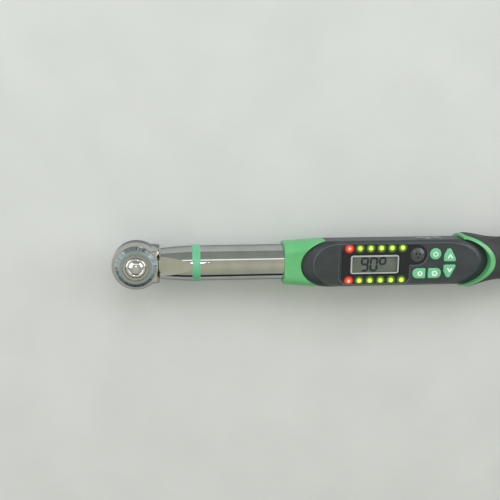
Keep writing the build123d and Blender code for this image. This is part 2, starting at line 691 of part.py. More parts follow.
parts["battery_cap"] = make_battery_cap()
seal_end = HANDLE_END + SEAT + SEAL_THICKNESS
seal = bar(CAP_PLUG_RADIUS + 2.2, HANDLE_END + SEAT, seal_end)
parts["cap_seal"] = seal - bar(CAP_PLUG_RADIUS + RUN, HANDLE_END - 1, seal_end + 1)


# Outline of the display bezel: a long panel with a round lobe for the buzzer
def bezel_outline(grow=0.0):
    length = BEZEL_RIGHT - BEZEL_LEFT + 2 * grow
    middle = (BEZEL_RIGHT + BEZEL_LEFT) / 2
    panel = Pos(middle, 0) * RectangleRounded(length, 2 * (BEZEL_HALF + grow), 5 + grow)
    lobe_radius = BUZZER_RADIUS + BUZZER_MARGIN + grow
    lobe = Pos(BUZZER_X, BUZZER_Y) * Circle(lobe_radius)
    root = Pos((BUZZER_X + BEZEL_RIGHT) / 2 - 4, BUZZER_Y) * Rectangle(BUZZER_X - BEZEL_RIGHT + 8, 2 * lobe_radius)
    return panel + lobe + root


def recess_outline():
    """Shallow field around the bezel, with its two front corners cut off."""
    half = BEZEL_HALF + RECESS_MARGIN
    corner = RECESS_CORNER
    field = make_face(Polyline(
        (RECESS_LEFT, -half + corner),
        (RECESS_LEFT, half - corner),
        (RECESS_LEFT + corner, half),
        (BEZEL_RIGHT - corner, half),
        (BEZEL_RIGHT - corner, -half),
        (RECESS_LEFT + corner, -half),
        close=True,
    ))
    return field + bezel_outline(RECESS_MARGIN)


# Outlines of the five keys, grown for their holes and flanges
def key_outlines(grow=0.0):
    tall = ARROW_KEY_FAR - ARROW_KEY_NEAR
    lean = (ARROW_KEY_LEFT + ARROW_KEY_RIGHT) / 2 - 1.2
    outlines = {}
    outlines["round_key"] = Pos(ROUND_KEY_X, ROUND_KEY_Y) * Circle(ROUND_KEY_RADIUS + grow)
    for name, side in (("up_key", 1), ("down_key", -1)):
        points = [
            (ARROW_KEY_LEFT, side * ARROW_KEY_NEAR),
            (ARROW_KEY_RIGHT, side * ARROW_KEY_NEAR),
            (ARROW_KEY_RIGHT - 0.6, side * (ARROW_KEY_NEAR + 0.25 * tall)),
            (lean + 1.6, side * ARROW_KEY_FAR),
            (lean - 1.6, side * ARROW_KEY_FAR),
            (ARROW_KEY_LEFT, side * (ARROW_KEY_NEAR + 0.5 * tall)),
        ]
        face = make_face(Polyline(*points, close=True))
        face = fillet(face.vertices(), ARROW_KEY_CORNER)
        outlines[name] = offset(face, grow) if grow else face
    spans = (("clear_key", CLEAR_KEY_LEFT, CLEAR_KEY_RIGHT, -1), ("set_key", SET_KEY_LEFT, SET_KEY_RIGHT, 1))
    for name, left, right, round_side in spans:
        length = right - left
        middle = (left + right) / 2
        square = Rectangle(length, 2 * LOWER_KEY_HALF)
        ends = square.vertices().sort_by(Axis.X)
        outer = ends[2:] if round_side > 0 else ends[:2]
        inner = ends[:2] if round_side > 0 else ends[2:]
        square = fillet(outer, LOWER_KEY_HALF - 0.4)
        square = fillet(square.vertices().sort_by(Axis.X)[:2 if round_side > 0 else None][-2:], 1.4)
        face = Pos(middle, LOWER_KEY_Y) * square
        outlines[name] = offset(face, grow) if grow else face
    return outlines


# Upper housing: raised display face with a rounded nose and tail
def make_upper_outer():
    rim_z = FACE_Z - FACE_RIM
    low_nose = nose_outline(NOSE_ROOT_X, NOSE_LENGTH, HOUSING_HALF)
    nose = prism(low_nose, AXIS_HEIGHT, SHOULDER_Z)
    high_nose = nose_outline(RIDGE_NOSE_ROOT_X, RIDGE_NOSE_LENGTH, FACE_HALF)
    nose += loft([
        Pos(0, 0, SHOULDER_Z) * nose_outline(RIDGE_NOSE_ROOT_X, NOSE_REACH, HOUSING_HALF),
        Pos(0, 0, rim_z) * high_nose,
    ], ruled=True)
    roof = make_face(Polyline(
        (-HOUSING_HALF, 0),
        (HOUSING_HALF, 0),
        (HOUSING_HALF, SHOULDER_HEIGHT),
        (FACE_HALF, FACE_HEIGHT - FACE_RIM),
        (-FACE_HALF, FACE_HEIGHT - FACE_RIM),
        (-HOUSING_HALF, SHOULDER_HEIGHT),
        close=True,
    ))
    at = Plane(origin=(RIDGE_NOSE_ROOT_X, 0, AXIS_HEIGHT), x_dir=(0, 1, 0), z_dir=(1, 0, 0))
    middle = extrude(at * roof, TAIL_ROOT_X - RIDGE_NOSE_ROOT_X)
    low = tail_outline(TAIL_ROOT_X, TAIL_CENTRE_X, TAIL_LENGTH, TAIL_HALF, HOUSING_HALF)
    high = tail_outline(TAIL_ROOT_X, TAIL_ROOT_X + 1, RIDGE_TAIL_LENGTH - 1, FACE_HALF, FACE_HALF)
    tail = prism(low, AXIS_HEIGHT, SHOULDER_Z)
    tail += loft([Pos(0, 0, SHOULDER_Z) * low, Pos(0, 0, rim_z) * high], ruled=True)
    face = high_nose + rectangle_between(RIDGE_NOSE_ROOT_X, TAIL_ROOT_X, FACE_HALF) + high
    plateau = prism(face, rim_z - 0.5, FACE_Z)
    plateau = chamfer(plateau.faces().sort_by(Axis.Z)[-1].edges(), FACE_EDGE)
    flank = prism(rectangle_between(NOSE_ROOT_X, RIDGE_NOSE_ROOT_X, HOUSING_HALF), AXIS_HEIGHT, SHOULDER_Z)
    return nose + flank + middle + tail + plateau


def make_upper_housing():
    shell = make_upper_outer()
    inner = HOUSING_HALF - WALL
    shell -= block(CAVITY_START, CAVITY_END, -inner, inner, AXIS_HEIGHT - 1, FACE_UNDER)
    boss = post(SCREW_BOSS_RADIUS, AXIS_HEIGHT, FACE_UNDER + 0.5, SCREW_REAR_X, SCREW_Y)
    shell += [boss, mirror(boss, Plane.XZ)]
    under_board = BOARD_Z - BOARD_THICKNESS
    rail = block(CAVITY_START - 1, BOARD_END, BOARD_HALF - 0.6, inner + 0.5, BOARD_Z, BOARD_Z + RAIL)
    rail_end = PORT_X - PORT_LENGTH
    rail += block(CAVITY_START - 1, rail_end, BOARD_HALF - 0.6, inner + 0.5, under_board - RAIL, under_board)
    shell += [rail, mirror(rail, Plane.XZ)]
    shell -= bar(HANDLE_NECK_RADIUS + RUN, NOSE_TIP - 5, TAIL_TIP + 5)
    shell -= prism(bezel_outline(SEAT), FACE_Z - BEZEL_DEPTH, FACE_Z + 1)
    shell -= Pos(0, 0, FACE_Z - RECESS_DEPTH) * extrude(recess_outline(), RECESS_DEPTH + 0.01, taper=-45)
    shell -= prism(bezel_outline(-BEZEL_LEDGE), FACE_UNDER - 1, FACE_Z + 1)
    for x, y in led_places():
        shell -= post(LED_RADIUS + SEAT, BOARD_Z - 0.1, FACE_Z, x, y)
    for outline in key_outlines(JOINT_GAP).values():
        shell -= prism(outline, FACE_UNDER - 1, FACE_Z + 1)
    for x in (SCREW_FRONT_X, SCREW_REAR_X):
        for y in (SCREW_Y, -SCREW_Y):
            shell -= post(SCREW_RADIUS + 0.02, AXIS_HEIGHT - 1, AXIS_HEIGHT + 6.2, x, y)
    wall = HOUSING_HALF - PORT_COVER_DEPTH
    shell -= side_slot(PORT_COVER_LENGTH + 0.4, PORT_COVER_HEIGHT + 0.4, wall, HOUSING_HALF + 1, PORT_X, COVER_Z)
    shell -= side_slot(PORT_LENGTH + 1, PORT_HEIGHT + 1, inner - 3, HOUSING_HALF, PORT_X, PORT_Z)
    return shell


def led_places():
    for row in (LED_ROW_Y, -LED_ROW_Y):
        for i in range(LED_COUNT):
            yield LED_FIRST_X + i * LED_PITCH, row


def side_slot(length, height, y0, y1, x, z):
    """Round-ended bar through the +Y flank."""
    flat = Plane(origin=(x, y0, z), x_dir=(1, 0, 0), z_dir=(0, 1, 0))
    return extrude(flat * SlotOverall(length, height), y1 - y0)


parts["upper_housing"] = make_upper_housing()


# Lower housing: half-round trough with saddles under the handle tube
def make_lower_housing():
    low = AXIS_HEIGHT - HOUSING_HALF - 1
    half = block(COLLAR_END, LOWER_END + LOWER_SPIGOT, -30, 30, low, AXIS_HEIGHT)
    shell = bar(HOUSING_HALF, COLLAR_END, LOWER_END)
    shell += bar(LOWER_SPIGOT_RADIUS, LOWER_END - 1, LOWER_END + LOWER_SPIGOT)
    shell &= half
    trough = bar(HOUSING_HALF - WALL, CAVITY_START, LOWER_END - 2)
    saddles = int((LOWER_END - CAVITY_START) / SADDLE_SPACING)
    for i in range(saddles):
        x = CAVITY_START + (i + 0.6) * SADDLE_SPACING
        trough -= block(x, x + SADDLE_WIDTH, -30, 30, low, AXIS_HEIGHT)
    for y in (SCREW_Y, -SCREW_Y):
        trough -= post(SCREW_BOSS_RADIUS, low, AXIS_HEIGHT, SCREW_REAR_X, y)
    shell -= trough & half
    shell -= bar(HANDLE_NECK_RADIUS + RUN, COLLAR_END - 1, LOWER_END + LOWER_SPIGOT + 1)
    for x in (SCREW_FRONT_X, SCREW_REAR_X):
        for y in (SCREW_Y, -SCREW_Y):
            shell -= post(SCREW_RADIUS + 0.05, low, AXIS_HEIGHT + 1, x, y)
            shell -= post(SCREW_HEAD_RADIUS + 0.15, low, AXIS_HEIGHT - 9.5, x, y)
    return shell


def make_screws():
    screws = []
    for x in (SCREW_FRONT_X, SCREW_REAR_X):
        for y in (SCREW_Y, -SCREW_Y):
            shank = post(SCREW_RADIUS, AXIS_HEIGHT - 9.6, AXIS_HEIGHT + 6, x, y)
            head = post(SCREW_HEAD_RADIUS, AXIS_HEIGHT - 11.2, AXIS_HEIGHT - 9.55, x, y)
            head -= post(1.1, AXIS_HEIGHT - 12, AXIS_HEIGHT - 10.3, x, y)
            screws.append(shank + head)
    return Part() + screws


parts["lower_housing"] = make_lower_housing()
parts["housing_screws"] = make_screws()


# Front collar: soft-skinned moulding that blends the tube into the housing
def make_collar():
    middle = (COLLAR_START + COLLAR_END) / 2
    middle_corner = (COLLAR_FRONT_CORNER + COLLAR_END_CORNER) / 2
    collar = loft([
        section(COLLAR_START, HOUSING_HALF - COLLAR_FRONT_STEP, COLLAR_TOP, COLLAR_FRONT_CORNER),
        section(middle, HOUSING_HALF - COLLAR_MIDDLE_STEP, COLLAR_TOP, middle_corner),
        section(COLLAR_END - JOINT_GAP, HOUSING_HALF, COLLAR_TOP, COLLAR_END_CORNER),
    ])
    nose = nose_outline(NOSE_ROOT_X, NOSE_LENGTH + JOINT_GAP, HOUSING_HALF + JOINT_GAP)
    collar -= prism(nose, AXIS_HEIGHT, FACE_Z + 9)
    collar -= bar(TUBE_RADIUS + RUN, COLLAR_START - 1, TUBE_END + SEAT)
    return collar - bar(HANDLE_NECK_RADIUS + RUN, TUBE_END, COLLAR_END + 1)


parts["front_collar"] = make_collar()


# Tail band and rubber grip, parted along one curve that follows the housing's tail
def make_grip_outer(inset=0.0):
    """Flared behind the display, waisted for the hand; flatter on top near the flare."""
    outline = (
        (GRIP_START, GRIP_START_HALF, GRIP_SHOULDER, 0.45),
        (FLARE_X, FLARE_HALF, GRIP_SHOULDER, 0.5),
        (WAIST_X, WAIST_HALF, GRIP_SHOULDER / 3, 0.75),
        (PALM_X, PALM_HALF, 0.1, 0.97),
        (HEEL_X, HEEL_HALF, 0.1, 0.97),
        (HANDLE_END, GRIP_END_HALF, 0.1, 0.97),
    )
    return loft([
        section(x, half - inset, half - drop - inset, (half - drop) * roundness - inset)
        for x, half, drop, roundness in outline
    ])


def make_ribs():
    """Shallow grooves round the palm of the grip."""
    rings = [
        bar(FLARE_HALF, RIB_FIRST_X + i * RIB_PITCH, RIB_FIRST_X + i * RIB_PITCH + RIB_WIDTH)
        for i in range(RIB_COUNT)
    ]
    return (Part() + rings) - make_grip_outer(RIB_DEPTH)


def band_zone(grow=0.0):
    outline = tail_outline(
        TAIL_ROOT_X, TAIL_CENTRE_X, TAIL_LENGTH + BAND_WIDTH + grow, BAND_HALF + grow, BAND_HALF
    )
    low = AXIS_HEIGHT - HOUSING_HALF - 10
    upper = prism(outline, AXIS_HEIGHT, FACE_Z + 12)
    return upper + block(TAIL_ROOT_X, BAND_LOWER_END + grow, -30, 30, low, AXIS_HEIGHT)


def make_grip_core():
    """What the band and the grip are hollow for: housing tail, spigot and tube."""
    tail = tail_outline(
        TAIL_ROOT_X, TAIL_CENTRE_X, TAIL_LENGTH + JOINT_GAP, TAIL_HALF + JOINT_GAP, HOUSING_HALF + JOINT_GAP
    )
    core = prism(tail, AXIS_HEIGHT, FACE_Z + 12)
    core += bar(LOWER_SPIGOT_RADIUS + SEAT, LOWER_END - 2, LOWER_END + LOWER_SPIGOT + SEAT)
    core += bar(HANDLE_NECK_RADIUS + RUN, LOWER_END, HANDLE_GRIP_START + SEAT)
    return core + bar(HANDLE_GRIP_RADIUS + RUN, HANDLE_GRIP_START - SEAT, HANDLE_END + 1)


grip_outer = make_grip_outer() - block(
    GRIP_START - 1, HANDLE_END, -30, 30, AXIS_HEIGHT - 40, AXIS_HEIGHT - GRIP_FLAT
)
grip_core = make_grip_core()
parts["tail_band"] = (grip_outer & band_zone()) - grip_core
parts["rubber_grip"] = grip_outer - band_zone(SEAT) - grip_core - make_ribs()


# Display: bezel, LCD frame, glass and window, lamp lenses, buzzer, board
def make_bezel():
    bezel = prism(bezel_outline(), FACE_Z - BEZEL_DEPTH + 0.02, FACE_Z + BEZEL_PROUD)
    bezel = chamfer(bezel.faces().sort_by(Axis.Z)[-1].edges(), 0.3)
    bezel -= prism(lcd_outline(LCD_SHADOW_GAP), FACE_UNDER, FACE_Z + 1)
    for x, y in led_places():
        bezel -= post(LED_RADIUS + SEAT, FACE_UNDER, FACE_Z + 1, x, y)
    return bezel - post(BUZZER_RADIUS + SEAT, FACE_UNDER, FACE_Z + 1, BUZZER_X, BUZZER_Y)


def lcd_outline(grow=0.0):
    return Pos(LCD_CENTRE_X, LCD_Y) * RectangleRounded(
        LCD_LENGTH + 2 * grow, 2 * (LCD_HALF + grow), LCD_CORNER + grow
    )


def make_lcd_frame():
    frame = prism(lcd_outline(), FACE_Z - 2.6, FACE_Z + LCD_PROUD)
    frame = chamfer(frame.faces().sort_by(Axis.Z)[-1].edges(), 0.3)
    frame += prism(lcd_outline(2 * LCD_SHADOW_GAP), FACE_Z - 2.6, FACE_Z - BEZEL_DEPTH - RUN)
    return frame - prism(lcd_outline(-LCD_FRAME_WIDTH), FACE_Z - 3, FACE_Z + 2)


def make_buzzer_cap():
    dome = [
        Line((0, FACE_UNDER + 0.1), (BUZZER_RADIUS, FACE_UNDER + 0.1)),
        Line((BUZZER_RADIUS, FACE_UNDER + 0.1), (BUZZER_RADIUS, FACE_Z + 0.4)),
        TangentArc((0, FACE_Z + 2.2), (BUZZER_RADIUS, FACE_Z + 0.4), tangent=(1, 0)),
        Line((0, FACE_Z + 2.2), (0, FACE_UNDER + 0.1)),
    ]
    cap = revolve(Plane.XZ * make_face(dome), Axis.Z)
    for i in range(3):
        hole = post(BUZZER_HOLE_RADIUS, FACE_UNDER - 1, FACE_Z + 4, BUZZER_HOLE_ORBIT)
        cap -= hole.rotate(Axis.Z, 120 * i - 90)
    return Pos(BUZZER_X, BUZZER_Y, 0) * cap


def make_lens(x, y):
    lens = post(LED_RADIUS, BOARD_Z + RUN, FACE_Z + BEZEL_PROUD - 0.1, x, y)
    top = Pos(x, y, FACE_Z + BEZEL_PROUD - 0.1) * Sphere(LED_RADIUS)
    top &= post(LED_RADIUS, FACE_Z, FACE_Z + BEZEL_PROUD + 0.7, x, y)
    return lens + top


def make_board():
    board = block(BOARD_START, BOARD_END, -BOARD_HALF, BOARD_HALF, BOARD_Z - BOARD_THICKNESS, BOARD_Z)
    for y in (SCREW_Y, -SCREW_Y):
        board -= post(SCREW_BOSS_RADIUS + 0.2, 0, FACE_Z, SCREW_REAR_X, y)
    return board


parts["display_bezel"] = make_bezel()
parts["lcd_frame"] = make_lcd_frame()
glass = lcd_outline(-LCD_FRAME_WIDTH - RUN)
parts["lcd_glass"] = prism(glass, FACE_Z - 2.5, FACE_Z - 1.0)
parts["lcd_window"] = prism(glass, FACE_Z - 0.8, FACE_Z + 0.2)
places = list(led_places())
parts["red_lamp_lenses"] = Part() + [make_lens(*places[i]) for i in (0, LED_COUNT)]
green = [make_lens(*place) for i, place in enumerate(places) if i % LED_COUNT]
parts["green_lamp_lenses"] = Part() + green
parts["buzzer_cap"] = make_buzzer_cap()
parts["buzzer"] = post(BUZZER_RADIUS - 0.8, BOARD_Z, FACE_UNDER, BUZZER_X, BUZZER_Y)
parts["circuit_board"] = make_board()


# Keys: a cap through the face, a flange below it, and a plunger over its switch
def make_key(outline, flange, centre):
    foot = BOARD_Z + SWITCH_HEIGHT + KEY_TRAVEL + 0.2
    under = FACE_UNDER - 0.05
    key = prism(outline, under - KEY_FLANGE, FACE_Z + KEY_PROUD)
    key = fillet(key.faces().sort_by(Axis.Z)[-1].edges(), KEY_EDGE)
    key += prism(flange, under - KEY_FLANGE, under)
    if foot < under - KEY_FLANGE:
        key += post(SWITCH_RADIUS - 0.5, foot, under, centre.X, centre.Y)
    return key


caps = key_outlines()
flanges = key_outlines(JOINT_GAP + 0.3)
switches = []
for name, outline in caps.items():
    centre = outline.center()
    parts[name] = make_key(outline, flanges[name], centre)
    switches.append(post(SWITCH_RADIUS, BOARD_Z, BOARD_Z + SWITCH_HEIGHT, centre.X, centre.Y))
parts["key_switches"] = Part() + switches


# Data port under the board, behind a hinged rubber cover in the flank
def make_port_cover():
    seat = HOUSING_HALF - PORT_COVER_DEPTH + RUN
    cover = side_slot(PORT_COVER_LENGTH, PORT_COVER_HEIGHT, seat, HOUSING_HALF + 0.3, PORT_X, COVER_Z)
    cover = fillet(cover.faces().sort_by(Axis.Y)[-1].edges(), 0.4)
    for side in (-1, 1):
        pad_x = PORT_X + side * PORT_COVER_LENGTH / 4
        pad_face = HOUSING_HALF + PORT_PAD_PROUD
        pad = side_slot(PORT_PAD_LENGTH, PORT_PAD_HEIGHT, seat, pad_face, pad_x, COVER_Z)
        cover += fillet(pad.faces().sort_by(Axis.Y)[-1].edges(), PORT_PAD_PROUD - 0.4)
    return cover + side_slot(PORT_LENGTH - 0.6, PORT_HEIGHT - 0.4, seat - 0.8, seat + 0.5, PORT_X, PORT_Z)


parts["port_cover"] = make_port_cover()
port_outer = HOUSING_HALF - WALL - 0.2
port = block(
    PORT_X - PORT_LENGTH / 2,
    PORT_X + PORT_LENGTH / 2,
    port_outer - PORT_DEPTH,
    port_outer,
    PORT_Z - PORT_HEIGHT / 2,
    PORT_Z + PORT_HEIGHT / 2,
)
mouth = side_slot(PORT_LENGTH - 1, PORT_HEIGHT - 1, port_outer - 5, port_outer + 1, PORT_X, PORT_Z)
parts["data_port"] = port - mouth


os.makedirs("parts", exist_ok=True)
for name, solid in parts.items():
    export_step(solid, f"parts/{name}.step")
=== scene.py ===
import math

import bpy
from mathutils import Matrix, Vector


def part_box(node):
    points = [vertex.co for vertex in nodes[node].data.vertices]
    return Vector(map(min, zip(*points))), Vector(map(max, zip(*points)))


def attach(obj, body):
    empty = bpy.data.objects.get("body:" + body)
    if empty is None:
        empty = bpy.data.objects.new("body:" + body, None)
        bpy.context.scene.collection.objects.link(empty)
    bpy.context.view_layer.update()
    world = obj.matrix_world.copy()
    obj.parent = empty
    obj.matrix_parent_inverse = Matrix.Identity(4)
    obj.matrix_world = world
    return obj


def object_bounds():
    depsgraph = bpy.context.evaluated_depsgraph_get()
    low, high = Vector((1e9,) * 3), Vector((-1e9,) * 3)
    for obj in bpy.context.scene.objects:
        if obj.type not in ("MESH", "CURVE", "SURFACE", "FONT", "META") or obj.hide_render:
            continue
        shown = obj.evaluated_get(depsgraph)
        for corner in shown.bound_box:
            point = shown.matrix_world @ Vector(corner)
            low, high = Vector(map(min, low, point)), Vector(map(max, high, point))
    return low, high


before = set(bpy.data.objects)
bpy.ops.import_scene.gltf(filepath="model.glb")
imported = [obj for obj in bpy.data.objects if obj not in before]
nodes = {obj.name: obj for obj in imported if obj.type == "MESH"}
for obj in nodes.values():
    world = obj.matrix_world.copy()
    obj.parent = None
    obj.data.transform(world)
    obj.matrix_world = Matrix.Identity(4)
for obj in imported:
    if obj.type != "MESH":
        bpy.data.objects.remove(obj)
cad_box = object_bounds()
MM = 0.001


# Camera of the photograph, fitted to the head, the collar, the lamps and the display.
# It looks down on the wrench, leaning a little over its far flank.
camera = bpy.data.objects.new("camera", bpy.data.cameras.new("camera"))
bpy.context.scene.collection.objects.link(camera)
right = Vector((0.99485691, 0.00614695, 0.1011036))
up = Vector((0.01610655, 0.97585635, -0.21781864))
turn = Matrix((right, up, right.cross(up))).transposed().to_4x4()
camera.matrix_world = Matrix.Translation((0.0336, 0.152842, 0.645275)) @ turn
camera.data.lens = 53.46
camera.data.sensor_width = 36.0
camera.data.clip_start = 0.01
bpy.context.scene.camera = camera
bpy.context.scene.view_settings.view_transform = "Standard"


# Ratchet head, neck, tube and anvil: chromium-vanadium steel, forged or drawn, polished
# and chrome plated. The plating mirrors the room, with faint clouds where hands rub it
# and grain in the polish that is drawn coarser than life so that it shows.
def colour(code):
    parts = [int(code[i:i + 2], 16) / 255 for i in (1, 3, 5)]
    return [p / 12.92 if p <= 0.04045 else ((p + 0.055) / 1.055) ** 2.4 for p in parts] + [1.0]


def add(tree, kind, settings=None, **inputs):
    """New node; an input is named with _ for a space, or by its place as i0, i1."""
    node = tree.nodes.new("ShaderNode" + kind)
    for name, value in (settings or {}).items():
        setattr(node, name, value)
    for name, value in inputs.items():
        socket = node.inputs[int(name[1:]) if name[1:].isdigit() else name.replace("_", " ")]
        if hasattr(value, "links"):
            tree.links.new(value, socket)
        else:
            socket.default_value = value
    return node


def new_material(name, **constants):
    material = bpy.data.materials.new(name)
    material.use_nodes = True
    tree = material.node_tree
    tree.nodes.clear()
    shader = add(tree, "BsdfPrincipled", None, **constants)
    add(tree, "OutputMaterial", None, Surface=shader.outputs[0])
    place = add(tree, "TexCoord").outputs["Object"]
    return material, tree, shader, place


def grain_of(tree, place, size_mm, detail=2.0, stretch=(1, 1, 1)):
    """Noise with grains of a real size; stretch draws it out along an axis."""
    mapping = add(tree, "Mapping", None, Vector=place, Scale=stretch)
    noise = add(
        tree, "TexNoise", None,
        Vector=mapping.outputs[0], Scale=1000 / size_mm, Detail=detail,
    )
    return noise.outputs["Fac"]


def ramp(tree, fac, *stops):
    node = add(tree, "ValToRGB", None, Fac=fac)
    elements = node.color_ramp.elements
    while len(elements) < len(stops):
        elements.new(0.5)
    for element, (position, tint) in zip(elements, stops):
        element.position = position
        element.color = colour(tint)
    return node.outputs["Color"]


CLOUD_MM = 15.0


def finish(name, tints, roughness, grain_mm, depth_mm, stretch=(1, 1, 1), **constants):
    """Skin with clouded colour, and fine grain that drives roughness and bump."""
    material, tree, shader, place = new_material(name, **constants)
    cloud = ramp(tree, grain_of(tree, place, CLOUD_MM), (0.3, tints[0]), (0.7, tints[1]))
    tree.links.new(cloud, shader.inputs["Base Color"])
    grain = grain_of(tree, place, grain_mm, 3.0, stretch)
    rough = add(tree, "MapRange", None, Value=grain, i3=roughness[0], i4=roughness[1])
    tree.links.new(rough.outputs[0], shader.inputs["Roughness"])
    bump = add(tree, "Bump", None, Distance=depth_mm * MM, Height=grain)
    tree.links.new(bump.outputs[0], shader.inputs["Normal"])
    return material


def paint(names, material):
    for name in names.split():
        slots = nodes[name].data.materials
        slots.clear()
        slots.append(material)


EDGE_TINT = colour("#B4B6B8")
chrome = finish(
    "polished_chrome_plate", ("#BABCBD", "#C4C6C7"), roughness=(0.03, 0.06),
    grain_mm=3.0, depth_mm=0.0002, Metallic=1.0, Specular_Tint=EDGE_TINT,
)
paint("ratchet_head neck_sleeve chrome_tube anvil locking_ball", chrome)


# Reversing dial: steel, turned, its bevel cut with ninety grooves, then satin chromed.
# The knurled ring is tinted paler; painted shade darkens its groove valleys, in patches.
dial_steel = finish(
    "satin_chromed_dial_steel", ("#97A7B1", "#A3B3BD"), roughness=(0.2, 0.3),
    grain_mm=0.5, depth_mm=0.003, Metallic=1.0, Specular_Tint=EDGE_TINT,
)
GROOVES = 90
VALLEY_WALL = (-0.3, 0.5)
GROOVES_PER_SHADE_PATCH = 5
SHADE_PATCH_EDGE = (0.4, 0.6)
LEAST_VALLEY_SHADE = 0.15
KNURL_FROM = 14.7 * MM


def maths(tree, operation, a, b=0.0, c=0.0):
    return add(tree, "Math", {"operation": operation}, i0=a, i1=b, i2=c).outputs[0]


def shader_of(material):
    tree = material.node_tree
    shader = next(node for node in tree.nodes if node.type == "BSDF_PRINCIPLED")
    place = next(node for node in tree.nodes if node.type == "TEX_COORD").outputs["Object"]
    return tree, shader, place


def tint_where(material, share, code):
    """Colours a finish over with another tint where share is one."""
    tree, shader, _ = shader_of(material)
    plain = shader.inputs["Base Color"].links[0].from_socket
    mixed = add(tree, "MixRGB", None, Fac=share, Color1=plain, Color2=colour(code))
    tree.links.new(mixed.outputs[0], shader.inputs["Base Color"])


tree, _, place = shader_of(dial_steel)
axes = add(tree, "SeparateXYZ", None, Vector=place)
x, y = axes.outputs["X"], axes.outputs["Y"]
bearing = maths(tree, "ARCTAN2", y, x)
wave = maths(tree, "COSINE", maths(tree, "MULTIPLY", bearing, GROOVES))
valley = add(
    tree, "MapRange", None,
    Value=wave, i1=VALLEY_WALL[0], i2=VALLEY_WALL[1],
).outputs[0]
# Patches along the rim where the painted valley shade is stronger or weaker.
patches = add(
    tree, "TexNoise", {"noise_dimensions": "1D"},
    W=bearing, Scale=GROOVES / GROOVES_PER_SHADE_PATCH, Detail=0.0,
)
shade_strength = add(
    tree, "MapRange", None,
    Value=patches.outputs[0], i1=SHADE_PATCH_EDGE[0], i2=SHADE_PATCH_EDGE[1], i3=LEAST_VALLEY_SHADE, i4=1.0,
).outputs[0]
square = maths(tree, "ADD", maths(tree, "MULTIPLY", x, x), maths(tree, "MULTIPLY", y, y))
radius = maths(tree, "SQRT", square)
knurled = maths(tree, "GREATER_THAN", radius, KNURL_FROM)
valley_shade = maths(tree, "MULTIPLY", maths(tree, "MULTIPLY", valley, shade_strength), knurled)
tint_where(dial_steel, knurled, "#AEB8BE")
# Painted shade: near black in the valleys of the grooves, heavier in some patches.
tint_where(dial_steel, valley_shade, "#0A0B0C")
paint("reversing_dial", dial_steel)


# Release button: steel, turned in one with its long stem and polished to a mirror, so
# that a thumb pressing it frees the socket.
button_steel = finish(
    "mirror_polished_button_steel", ("#C9CBCE", "#DCDDE0"), roughness=(0.04, 0.08),
    grain_mm=3.0, depth_mm=0.0002, Metallic=1.0, Specular_Tint=EDGE_TINT,
)
paint("release_button", button_steel)


# Works of the head and the torque cell: alloy steel, ground along the handle and left
# bare under a film of oil, so it is greyer and duller than the plated outside.
ground_steel = finish(
    "ground_tool_steel", ("#9A9B9D", "#B4B5B7"), roughness=(0.25, 0.4),
    grain_mm=0.4, depth_mm=0.004, stretch=(0.05, 1, 1), Metallic=1.0,
)
paint("pawl pawl_pin gear_cover_plate plate_snap_ring dial_snap_ring release_spring", ground_steel)
paint("detent_ball detent_spring cross_pin tube_pin torque_beam handle_tube", ground_steel)


# Strain gauges: polyimide foil patches with copper tracks, glued to the torque beam,
# where they feel how far it bends.
gauge_foil = finish(
    "polyimide_gauge_foil", ("#A8702C", "#B87C34"), roughness=(0.25, 0.35),
    grain_mm=0.6, depth_mm=0.004, IOR=1.6,
)
paint("strain_gauges", gauge_foil)


# Accent ring between neck and tube: aluminium, turned and anodised green, a hard satin
# skin that is a little bluer than the moulded green parts.
ring_green = finish(
    "green_anodised_aluminium", ("#5DAB86", "#68B590"), roughness=(0.25, 0.36),
    grain_mm=0.6, depth_mm=0.01, IOR=1.5,
)
paint("accent_ring", ring_green)


# Front collar and tail band: green thermoplastic elastomer, moulded over the housing's
# ends, with a soft skin and a faint sheen.
collar_green = finish(
    "green_elastomer_skin", ("#54A96C", "#5FB377"), roughness=(0.3, 0.42),
    grain_mm=0.6, depth_mm=0.02, IOR=1.5, Specular_IOR_Level=0.8,
)
paint("front_collar tail_band", collar_green)


# Housing shells and battery cap: black ABS, injection moulded in a spark-eroded tool,
# which leaves a grain of about 0.7 mm that catches the light in points. The rim of the
# raised face is painted paler, a painted highlight. Steel screws, blackened, hold the two shells
# together.
housing_black = finish(
    "black_abs_eroded_grain", ("#292F34", "#343A40"), roughness=(0.3, 0.46),
    grain_mm=0.7, depth_mm=0.07, IOR=1.54,
)
FACE_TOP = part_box("upper_housing")[1].z
HIGHLIGHT_RIM = (0.75 * MM, 0.06 * MM)


def between(material, low, high):
    """Share that is one between two heights."""
    tree, _, place = shader_of(material)
    z = add(tree, "SeparateXYZ", None, Vector=place).outputs["Z"]
    return maths(tree, "COMPARE", z, (low + high) / 2, (high - low) / 2)


# Painted highlight: a paler band round the rounded rim of the raised face.
rim_highlight = between(housing_black, FACE_TOP - HIGHLIGHT_RIM[0], FACE_TOP - HIGHLIGHT_RIM[1])
tint_where(housing_black, rim_highlight, "#5B6267")
paint("upper_housing lower_housing battery_cap", housing_black)
screw_steel = finish(
    "black_oxide_screw_steel", ("#35383B", "#404347"), roughness=(0.3, 0.45),
    grain_mm=0.3, depth_mm=0.003, Metallic=1.0,
)
paint("housing_screws", screw_steel)


# Lamps: clear epoxy lenses, cast, each with a red or green diode lit under it. They are
# brightest in the middle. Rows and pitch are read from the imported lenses.
_, green_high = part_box("green_lamp_lenses")
red_low, red_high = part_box("red_lamp_lenses")
LAMP_R = (red_high.x - red_low.x) / 2
LAMP_ROW_Y = red_high.y - LAMP_R
FIRST_LAMP_X = (red_low.x + red_high.x) / 2
LAMPS_IN_ROW = 6
LAMP_PITCH = (green_high.x - LAMP_R - FIRST_LAMP_X) / (LAMPS_IN_ROW - 1)


